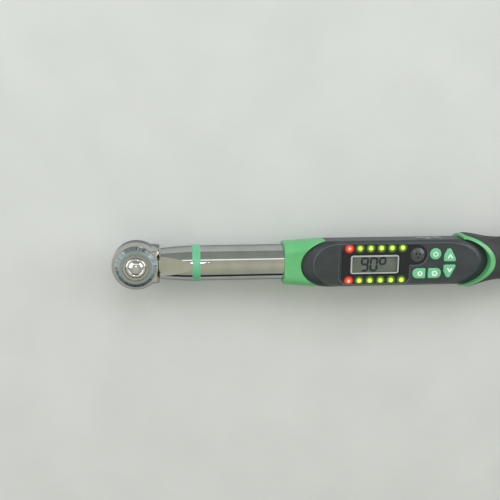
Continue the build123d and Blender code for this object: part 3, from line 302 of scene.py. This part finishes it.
def lamp_distance(tree, place):
    """Distance to the nearest lamp's axis, and one where that lamp is a red one."""
    axes = add(tree, "SeparateXYZ", None, Vector=place)
    from_first = maths(tree, "SUBTRACT", axes.outputs["X"], FIRST_LAMP_X)
    step = maths(tree, "DIVIDE", from_first, LAMP_PITCH)
    whole = maths(tree, "MAXIMUM", maths(tree, "ROUND", step), 0.0)
    index = maths(tree, "MINIMUM", whole, LAMPS_IN_ROW - 1)
    dx = maths(tree, "MULTIPLY", maths(tree, "SUBTRACT", step, index), LAMP_PITCH)
    dy = maths(tree, "SUBTRACT", maths(tree, "ABSOLUTE", axes.outputs["Y"]), LAMP_ROW_Y)
    square = maths(tree, "ADD", maths(tree, "MULTIPLY", dx, dx), maths(tree, "MULTIPLY", dy, dy))
    return maths(tree, "SQRT", square), maths(tree, "LESS_THAN", index, 0.5)


def lens_material(name, core, rim, power):
    material, tree, shader, place = new_material(
        name, Roughness=0.15, IOR=1.57, Emission_Strength=power,
    )
    distance, _ = lamp_distance(tree, place)
    tint = ramp(tree, maths(tree, "DIVIDE", distance, LAMP_R), (0.0, core), (0.9, rim))
    tree.links.new(tint, shader.inputs["Base Color"])
    tree.links.new(tint, shader.inputs["Emission Color"])
    return material


paint("red_lamp_lenses", lens_material("lit_red_epoxy_lens", "#FFC08A", "#F8402A", 1.15))
paint("green_lamp_lenses", lens_material("lit_green_epoxy_lens", "#E8FA80", "#A2D028", 1.0))


# Display bezel: smoked acrylic, moulded with a polished face and pressed into the
# housing. Light from the lamps spreads a few millimetres through it.
GLOW_FROM = LAMP_R * 0.9
GLOW_TO = LAMP_R * 2.6
GREEN_GLOW = 0.75
smoked, tree, shader, place = new_material(
    "smoked_acrylic", IOR=1.49, Roughness=0.12, Specular_IOR_Level=0.3, Emission_Strength=0.9,
)
dust = grain_of(tree, place, 0.4, 3.0)
tree.links.new(ramp(tree, dust, (0.3, "#1A1E21"), (0.75, "#22262A")), shader.inputs["Base Color"])
distance, is_red = lamp_distance(tree, place)
spread = add(
    tree, "MapRange", {"interpolation_type": "SMOOTHERSTEP"},
    Value=distance, i1=GLOW_FROM, i2=GLOW_TO, i3=1.0, i4=0.0,
)
reach = maths(tree, "MULTIPLY", maths(tree, "ADD", is_red, GREEN_GLOW), spread.outputs[0])
glow = add(tree, "MixRGB", None, Fac=is_red, Color1=colour("#7FB51E"), Color2=colour("#F0301C"))
lit = add(
    tree, "MixRGB", {"blend_type": "MULTIPLY"},
    Fac=1.0, Color1=glow.outputs[0], Color2=reach,
)
tree.links.new(lit.outputs[0], shader.inputs["Emission Color"])
paint("display_bezel", smoked)


# Display frame: light grey ABS rim, moulded. Its skirt below the bezel's face is painted
# near black, painted shade that draws a dark gap line all round the rim.
frame_grey = finish(
    "light_grey_abs_rim", ("#A3A8AB", "#AEB3B5"), roughness=(0.3, 0.42),
    grain_mm=0.5, depth_mm=0.01, IOR=1.54,
)
RIM_HEIGHT = 0.9 * MM
skirt_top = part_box("lcd_frame")[1].z - RIM_HEIGHT
# Painted shade: the skirt under the top of the rim is near black.
tint_where(frame_grey, between(frame_grey, 0.0, skirt_top), "#060607")
paint("lcd_frame", frame_grey)


# Display: a liquid crystal cell, grey-green by reflected light, with a faint cloud in its
# polariser, and a clear acrylic window over it.
crystal, tree, shader, place = new_material("liquid_crystal_cell", Roughness=0.25, IOR=1.5)
haze = grain_of(tree, place, 9.0)
tree.links.new(ramp(tree, haze, (0.3, "#5F6862"), (0.7, "#69726B")), shader.inputs["Base Color"])
paint("lcd_glass", crystal)
window, tree, shader, place = new_material("clear_acrylic_window", IOR=1.49, Alpha=0.05)
smear = add(tree, "MapRange", None, Value=grain_of(tree, place, 6.0), i3=0.03, i4=0.07)
tree.links.new(smear.outputs[0], shader.inputs["Roughness"])
shader.inputs["Base Color"].default_value = colour("#20282A")
paint("lcd_window", window)


# Reading of the display: the segments of the angle ninety degrees, dark where the
# crystal is switched on. Each segment is a bar with pointed ends, as etched glass has.
segment_ink = finish(
    "switched_segment", ("#141B24", "#1B232D"), roughness=(0.3, 0.4),
    grain_mm=0.3, depth_mm=0.002,
)
SEGMENTS = {
    "a": (0, 1, 1, 1), "b": (1, 1, 1, 0.5), "c": (1, 0.5, 1, 0), "d": (0, 0, 1, 0),
    "e": (0, 0.5, 0, 0), "f": (0, 1, 0, 0.5), "g": (0, 0.5, 1, 0.5),
}
DIGIT_HEIGHT = 11.0 * MM
DIGIT_WIDTH = 5.4 * MM
DIGIT_SLANT = 0.05
BAR_WIDTH = 1.9 * MM
NINE_FROM = 194.8 * MM
ZERO_FROM = 202.8 * MM
DEGREE_FROM = 210.8 * MM
DEGREE_WIDTH = DIGIT_WIDTH - 0.4 * MM
DEGREE_BAR_WIDTH = 1.7 * MM
READING_LIFT = 0.01 * MM
READING_THICK = 0.05 * MM
glass_low, glass_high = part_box("lcd_glass")
DIGIT_FOOT = (glass_low.y + glass_high.y) / 2 - DIGIT_HEIGHT / 2


def runs_clockwise(outline):
    ahead = outline[1:] + outline[:1]
    return sum(a[0] * b[1] - b[0] * a[1] for a, b in zip(outline, ahead)) < 0


def plate(name, outlines, z, thickness, material, body="wrench"):
    """Thin raised shapes: closed outlines at height z, thickened upwards."""
    corners = []
    faces = []
    for outline in outlines:
        if runs_clockwise(outline):
            outline = outline[::-1]
        count = len(outline)
        under = list(range(len(corners), len(corners) + count))
        over = [i + count for i in under]
        corners += [(x, y, z) for x, y in outline]
        corners += [(x, y, z + thickness) for x, y in outline]
        faces += [under[::-1], over]
        faces += [(under[i - 1], under[i], over[i], over[i - 1]) for i in range(count)]
    mesh = bpy.data.meshes.new(name)
    mesh.from_pydata(corners, [], faces)
    mesh.materials.append(material)
    piece = bpy.data.objects.new(name, mesh)
    bpy.context.scene.collection.objects.link(piece)
    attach(piece, body)


def digit(lit_segments, left, width, thick):
    shapes = []
    for name in lit_segments:
        x0, y0, x1, y1 = SEGMENTS[name]
        a = Vector((x0 * width, y0 * DIGIT_HEIGHT))
        b = Vector((x1 * width, y1 * DIGIT_HEIGHT))
        along = (b - a).normalized() * thick / 2
        side = Vector((-along.y, along.x))
        points = [a, a + along + side, b - along + side, b, b - along - side, a + along - side]
        shapes.append([(left + p.x + DIGIT_SLANT * p.y, DIGIT_FOOT + p.y) for p in points])
    return shapes


reading = digit("abcdfg", NINE_FROM, DIGIT_WIDTH, BAR_WIDTH)
reading += digit("abcdef", ZERO_FROM, DIGIT_WIDTH, BAR_WIDTH)
reading += digit("abfg", DEGREE_FROM, DEGREE_WIDTH, DEGREE_BAR_WIDTH)
plate("lcd_reading", reading, glass_high.z + READING_LIFT, READING_THICK, segment_ink)


# Buzzer: a domed black ABS cap with three sound holes over the sounder, moulded smooth
# so that it is glossier than the housing round it.
buzzer_black = finish(
    "black_abs_gloss", ("#3E4144", "#484B4E"), roughness=(0.16, 0.24),
    grain_mm=0.4, depth_mm=0.006, IOR=1.54,
)
paint("buzzer_cap buzzer", buzzer_black)


# Keys: mint silicone rubber, moulded with crowned tops. Their skirts, down in the
# housing's openings, are painted a deeper green as painted shade.
key_mint = finish(
    "mint_silicone_rubber", ("#66B58A", "#71BE95"), roughness=(0.3, 0.42),
    grain_mm=0.4, depth_mm=0.01, IOR=1.43,
)
CROWN_HEIGHT = 1.15 * MM
key_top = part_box("round_key")[1].z
# Painted shade: below the crown the rubber is a dark green.
tint_where(key_mint, between(key_mint, 0.0, key_top - CROWN_HEIGHT), "#14532F")
paint("round_key up_key down_key clear_key set_key", key_mint)


# Signs on the keys: power, up, down, zero and a setting wheel, pad printed in white ink.
# The ink starts a hundredth of a millimetre under the top of the rubber.
key_ink = finish(
    "white_pad_print", ("#F2F8F3", "#FFFFFF"), roughness=(0.45, 0.6),
    grain_mm=0.3, depth_mm=0.005,
)
INK_UNDER = 0.01 * MM
INK_THICK = 0.04 * MM
POWER_RADIUS = 1.9 * MM
POWER_LINE = 0.6 * MM
POWER_BAR = (0.5 * MM, 2.5 * MM)
ARROW_FOOT = 2.7 * MM
ARROW_HEIGHT = 3.0 * MM
ARROW_HALF_WIDTH = 2.0 * MM
ARROW_LINE = 1.0 * MM
ZERO_SHIFT = 0.8 * MM
ZERO_RADIUS = 1.7 * MM
ZERO_LINE = 0.9 * MM


def stroke(points, width, closed=False):
    """Outlines of a line of even width, one quad per run, mitred where runs meet."""
    points = [Vector(p) for p in points]
    count = len(points)
    offsets = []
    for i, point in enumerate(points):
        before = points[i - 1] if i or closed else None
        after = points[(i + 1) % count] if i < count - 1 or closed else None
        sides = []
        for a, b in ((before, point), (point, after)):
            if a is not None and b is not None:
                run = (b - a).normalized()
                sides.append(Vector((-run.y, run.x)))
        middle = sum(sides, Vector((0, 0))).normalized()
        offsets.append(middle * (width / 2 / max(0.3, middle.dot(sides[0]))))
    quads = []
    for i in range(count if closed else count - 1):
        j = (i + 1) % count
        near = [points[i] - offsets[i], points[j] - offsets[j]]
        quads.append(near + [points[j] + offsets[j], points[i] + offsets[i]])
    return quads


def middle_of(node):
    low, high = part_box(node)
    return (low + high) / 2


def ring(x, y, radius, start=0, end=342, steps=19):
    """Points of an arc given in degrees; by itself, twenty points of a full circle."""
    angles = [math.radians(start + (end - start) * i / steps) for i in range(steps + 1)]
    return [(x + radius * math.cos(t), y + radius * math.sin(t)) for t in angles]


def sign(name, outlines, key):
    plate(name, outlines, key_top - INK_UNDER, INK_THICK, key_ink, key)


centre = middle_of("round_key")
power = stroke(ring(centre.x, centre.y, POWER_RADIUS, 125, 415, 20), POWER_LINE)
power_bar = [(centre.x, centre.y + POWER_BAR[1]), (centre.x, centre.y + POWER_BAR[0])]
power += stroke(power_bar, POWER_LINE)
sign("power_sign", power, "round_key")
for key, side in (("up_key", 1), ("down_key", -1)):
    centre = middle_of(key)
    foot = centre.y - side * ARROW_FOOT
    tip = foot + side * ARROW_HEIGHT
    arrow = [
        (centre.x - ARROW_HALF_WIDTH, foot),
        (centre.x, tip),
        (centre.x + ARROW_HALF_WIDTH, foot),
    ]
    sign(key.replace("_key", "_sign"), stroke(arrow, ARROW_LINE), key)
centre = middle_of("clear_key")
zero = ring(centre.x + ZERO_SHIFT, centre.y, ZERO_RADIUS)
sign("zero_sign", stroke(zero, ZERO_LINE, True), "clear_key")


# Setting sign: a small wheel. Its eight rays repeat round the rim, so Geometry Nodes set
# one bar at each point of a circle.
WHEEL_RADIUS = 1.7 * MM
WHEEL_LINE = 0.8 * MM
RAY_COUNT = 8
RAY_RADIUS = 2.35 * MM
RAY_SIZE = (0.9 * MM, 0.7 * MM, INK_THICK)
centre = middle_of("set_key")
wheel = ring(centre.x, centre.y, WHEEL_RADIUS)
sign("setting_wheel", stroke(wheel, WHEEL_LINE, True), "set_key")


def repeat_round(name, centre, z, count, radius, bar, material, body):
    """Bars of size bar set pointing outwards on a circle, as one plain mesh."""
    tree = bpy.data.node_groups.new(name, "GeometryNodeTree")
    face = tree.interface
    face.new_socket("Geometry", in_out="OUTPUT", socket_type="NodeSocketGeometry")
    sizes = {
        "Count": ("NodeSocketInt", count),
        "Radius": ("NodeSocketFloat", radius),
        "Bar": ("NodeSocketVector", bar),
        "Centre": ("NodeSocketVector", (centre.x, centre.y, z + bar[2] / 2)),
    }
    ids = {}
    for key, (kind, _) in sizes.items():
        ids[key] = face.new_socket(key, in_out="INPUT", socket_type=kind).identifier
    make = tree.nodes.new
    given = make("NodeGroupInput").outputs
    circle = make("GeometryNodeMeshCircle")
    tree.links.new(given["Count"], circle.inputs["Vertices"])
    tree.links.new(given["Radius"], circle.inputs["Radius"])
    cube = make("GeometryNodeMeshCube")
    tree.links.new(given["Bar"], cube.inputs["Size"])
    position = make("GeometryNodeInputPosition")
    outward = make("FunctionNodeAlignRotationToVector")
    outward.axis = "X"
    tree.links.new(position.outputs[0], outward.inputs["Vector"])
    copies = make("GeometryNodeInstanceOnPoints")
    tree.links.new(circle.outputs["Mesh"], copies.inputs["Points"])
    tree.links.new(cube.outputs["Mesh"], copies.inputs["Instance"])
    tree.links.new(outward.outputs[0], copies.inputs["Rotation"])
    solid = make("GeometryNodeRealizeInstances")
    tree.links.new(copies.outputs[0], solid.inputs[0])
    moved = make("GeometryNodeTransform")
    tree.links.new(solid.outputs[0], moved.inputs["Geometry"])
    tree.links.new(given["Centre"], moved.inputs["Translation"])
    coat = make("GeometryNodeSetMaterial")
    coat.inputs["Material"].default_value = material
    tree.links.new(moved.outputs[0], coat.inputs["Geometry"])
    tree.links.new(coat.outputs[0], make("NodeGroupOutput").inputs[0])
    carrier = bpy.data.objects.new(name, bpy.data.meshes.new(name + "_seed"))
    bpy.context.scene.collection.objects.link(carrier)
    modifier = carrier.modifiers.new("repeat", "NODES")
    modifier.node_group = tree
    for key, (_, value) in sizes.items():
        modifier[ids[key]] = value
    evaluated = carrier.evaluated_get(bpy.context.evaluated_depsgraph_get())
    mesh = bpy.data.meshes.new_from_object(evaluated)
    carrier.modifiers.clear()
    carrier.data = mesh
    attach(carrier, body)


repeat_round(
    "setting_rays", centre, key_top - INK_UNDER, RAY_COUNT, RAY_RADIUS, RAY_SIZE,
    key_ink, "set_key",
)


# Port cover: black rubber flap with two finger pads, moulded glossy, hinged over the
# data port in the far flank.
flap_rubber = finish(
    "black_gloss_rubber", ("#5A5F62", "#64696C"), roughness=(0.1, 0.18),
    grain_mm=0.6, depth_mm=0.006, IOR=1.52,
)
paint("port_cover", flap_rubber)


# Rubber grip and the cap's seal: black nitrile rubber, moulded over the handle tube with
# shallow finger ribs, matt, and dusty where it is held.
grip_rubber = finish(
    "black_nitrile_grip", ("#2C2D2E", "#37383A"), roughness=(0.55, 0.75),
    grain_mm=0.4, depth_mm=0.04, IOR=1.52,
)
paint("rubber_grip cap_seal", grip_rubber)


# Electronics: glass-fibre board with green solder mask, its switches and the port, and
# two lithium cells in shrunk blue film with a spring behind them.
board_mask = finish(
    "green_solder_mask", ("#1E4B2C", "#235434"), roughness=(0.3, 0.4),
    grain_mm=0.8, depth_mm=0.01, IOR=1.55,
)
switch_black = finish(
    "black_nylon_switch", ("#1F2022", "#28292B"), roughness=(0.4, 0.5),
    grain_mm=0.4, depth_mm=0.01, IOR=1.53,
)
port_shell = finish(
    "nickel_plated_port", ("#A9A8A2", "#B7B6B0"), roughness=(0.2, 0.3),
    grain_mm=0.4, depth_mm=0.002, Metallic=1.0,
)
cell_film = finish(
    "blue_shrink_film", ("#2C3E63", "#33476E"), roughness=(0.2, 0.3),
    grain_mm=1.0, depth_mm=0.01, IOR=1.5,
)
paint("circuit_board", board_mask)
paint("key_switches", switch_black)
paint("data_port contact_spring", port_shell)
paint("battery_cells", cell_film)


# Shading: turned and moulded faces run smooth, as on the real wrench, and edges sharper
# than the crease angle stay sharp.
CREASE = math.radians(32)
for node in nodes.values():
    node.data.shade_smooth()
    node.data.set_sharp_from_angle(angle=CREASE)


# Floor: a sheet of pale grey paper, matt and faintly clouded, just under the tip of the
# drive. It reaches metres each way, so that its edge lies far off.
FLOOR_REACH = 8.0
FLOOR_GAP = 0.2 * MM
floor_z = cad_box[0].z - FLOOR_GAP
corners = [(-1, -1), (1, -1), (1, 1), (-1, 1)]
sheet = [(x * FLOOR_REACH, y * FLOOR_REACH, floor_z) for x, y in corners]
floor_mesh = bpy.data.meshes.new("floor")
floor_mesh.from_pydata(sheet, [], [(0, 1, 2, 3)])
floor = bpy.data.objects.new("floor", floor_mesh)
bpy.context.scene.collection.objects.link(floor)
paper, tree, shader, place = new_material("pale_grey_paper", Roughness=0.7)
tone = ramp(tree, grain_of(tree, place, 60.0), (0.3, "#C4C7C8"), (0.7, "#C9CCCD"))
tree.links.new(tone, shader.inputs["Base Color"])
floor_mesh.materials.append(paper)


# Studio: a large soft light over the far flank, a narrow one that draws the long line on
# the tube, one past each end for the rims of the head and the housing, and a small one
# beside the camera for the button's dome.
def softbox(name, location, target, width, height, watts):
    light = bpy.data.lights.new(name, "AREA")
    light.shape = "RECTANGLE"
    light.size = width
    light.size_y = height
    light.energy = watts
    lamp = bpy.data.objects.new(name, light)
    bpy.context.scene.collection.objects.link(lamp)
    lamp.location = location
    lamp.rotation_mode = "QUATERNION"
    lamp.rotation_quaternion = (Vector(target) - Vector(location)).to_track_quat("-Z", "Y")
    return lamp


key_light = softbox("key_light", (0.25, 2.0, 1.85), (0.18, 0, 0), 2.2, 1.3, 28)
key_light.visible_glossy = False
softbox("line_light", (0.2, 0.75, 1.28), (0.18, 0, 0.02), 2.0, 0.17, 1.3)
softbox("left_rim_light", (-1.1, 0.4, 0.75), (0.15, 0, 0.02), 1.2, 1.2, 9)
softbox("right_rim_light", (1.5, 0.5, 0.75), (0.3, 0, 0.02), 1.2, 1.2, 11)
softbox("dome_light", (0.06, 0.2, 0.9), (0.0, 0, 0), 0.06, 0.06, 0.4)


# Sky: its colour goes by the angle about the handle's axis, from the near horizon over
# the top to the far one: a low dark flag, warm white card overhead, and cool grey. It
# goes over to one even grey past the handle's two ends.
ENDS_FROM = 0.32
ENDS_FULL = 0.55
SKY_STRENGTH = 0.92
world = bpy.data.worlds.new("studio")
bpy.context.scene.world = world
world.use_nodes = True
tree = world.node_tree
tree.nodes.clear()
heading = add(tree, "SeparateXYZ", None, Vector=add(tree, "TexCoord").outputs["Generated"])
angle = maths(tree, "ARCTAN2", heading.outputs["Y"], heading.outputs["Z"])
turned = add(tree, "MapRange", None, Value=angle, i1=-math.pi / 2, i2=math.pi / 2)
sky = ramp(
    tree, turned.outputs[0],
    (0.0, "#262626"), (0.075, "#2C2C2C"), (0.105, "#BCBEAD"), (0.28, "#CBCCB6"),
    (0.43, "#E1DDC2"), (0.6, "#D2D0BC"), (0.74, "#A9B0A3"), (1.0, "#A3AA9F"),
)
ends = add(
    tree, "MapRange", {"interpolation_type": "SMOOTHSTEP"},
    Value=maths(tree, "ABSOLUTE", heading.outputs["X"]), i1=ENDS_FROM, i2=ENDS_FULL,
)
whole = add(tree, "MixRGB", None, Fac=ends.outputs[0], Color1=sky, Color2=colour("#B6B9B0"))
surface = add(tree, "Background", None, Color=whole.outputs[0], Strength=SKY_STRENGTH)
add(tree, "OutputWorld", None, Surface=surface.outputs[0])
